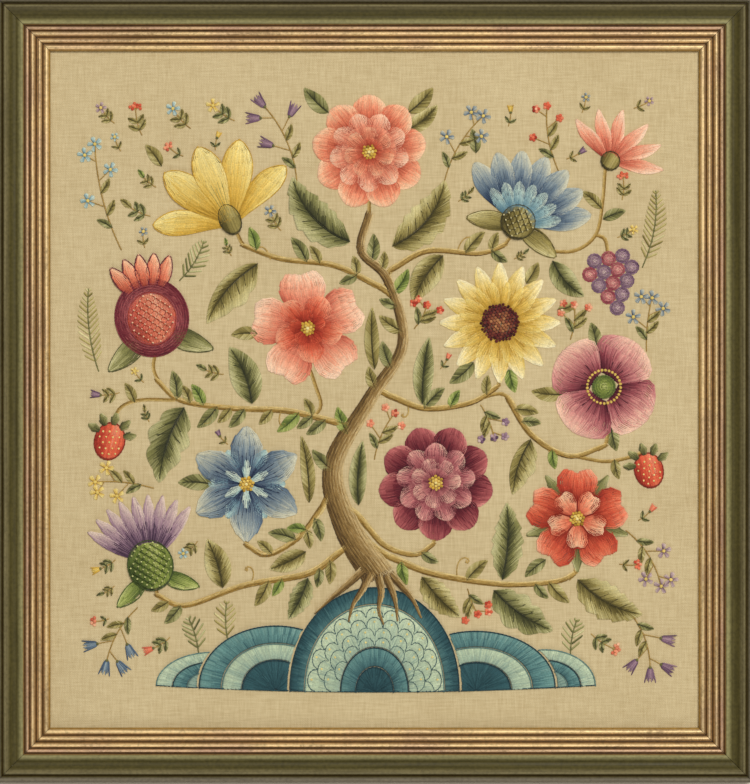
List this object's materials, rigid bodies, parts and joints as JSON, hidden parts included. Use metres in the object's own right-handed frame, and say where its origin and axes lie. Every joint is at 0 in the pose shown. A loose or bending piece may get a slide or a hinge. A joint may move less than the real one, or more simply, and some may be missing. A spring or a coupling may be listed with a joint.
{
  "type": "crewel embroidery in wooden picture frame",
  "caption": "Wool crewel picture on flat stretched linen, set in a mitred wooden frame with gilt inner ridges and a green outer hollow.",
  "frame": {"origin": "middle of the frame's flat back, which is the plane it lies on", "axes": "+X to the picture's right, +Y to its top, +Z out of its face"},
  "size_m": [0.566, 0.587, 0.022],
  "materials": {
    "stained_and_gilded_wood": "dull olive green stain outside, worn gold leaf on the inner ridges",
    "natural_linen": "plain weave, matt",
    "grey_board": "matt grey board",
    "wool_bark": "matt two-ply crewel wool",
    "wool_stem": "matt two-ply crewel wool",
    "wool_leaf": "matt two-ply crewel wool",
    "wool_teal": "matt two-ply crewel wool",
    "wool_aqua": "matt two-ply crewel wool",
    "wool_deep_teal": "matt two-ply crewel wool",
    "wool_coral": "matt two-ply crewel wool",
    "wool_red": "matt two-ply crewel wool",
    "wool_yellow": "matt two-ply crewel wool",
    "wool_blue": "matt two-ply crewel wool",
    "wool_burgundy": "matt two-ply crewel wool",
    "wool_plum": "matt two-ply crewel wool",
    "wool_purple": "matt two-ply crewel wool"
  },
  "bodies": {
    "root": {"aster_right": "wool_yellow", "branch_aster": "wool_stem", "branch_gentian": "wool_stem", "branch_left": "wool_stem", "branch_lily": "wool_stem", "branch_low_left": "wool_stem", "branch_low_right": "wool_stem", "branch_palmette": "wool_stem", "branch_peony": "wool_stem", "branch_right": "wool_stem", "gentian_left": "wool_blue", "grapes_right": "wool_purple", "hillock_far_left": "wool_deep_teal", "hillock_far_right": "wool_aqua", "hillock_left": "wool_aqua", "hillock_middle": "wool_teal", "hillock_right": "wool_deep_teal", "honeysuckle_right": "wool_yellow", "leaf_aster": "wool_leaf", "leaf_gentian": "wool_leaf", "leaf_left": "wool_leaf", "leaf_lily": "wool_leaf", "leaf_low_left": "wool_leaf", "leaf_low_middle": "wool_leaf", "leaf_low_right": "wool_leaf", "leaf_palmette": "wool_leaf", "leaf_palmette_low": "wool_leaf", "leaf_peony": "wool_leaf", "leaf_right": "wool_leaf", "leaf_rose": "wool_leaf", "leaf_rose_low": "wool_leaf", "leaf_thistle": "wool_leaf", "leaf_top_left": "wool_leaf", "leaf_top_right": "wool_leaf", "leaf_trunk_left": "wool_leaf", "leaf_trunk_right": "wool_leaf", "leaf_tudor": "wool_leaf", "lily_left": "wool_yellow", "linen": "natural_linen", "mounting_board": "grey_board", "palmette_right": "wool_blue", "peony_low": "wool_burgundy", "peony_top": "wool_coral", "pomegranate_left": "wool_burgundy", "poppy_right": "wool_plum", "rail_bottom": "stained_and_gilded_wood", "rail_left": "stained_and_gilded_wood", "rail_right": "stained_and_gilded_wood", "rail_top": "stained_and_gilded_wood", "rose_left": "wool_coral", "strawberry_left": "wool_red", "strawberry_right": "wool_red", "thistle_left": "wool_purple", "trunk": "wool_bark", "tudor_rose_right": "wool_red"}
  },
  "joints": []
}
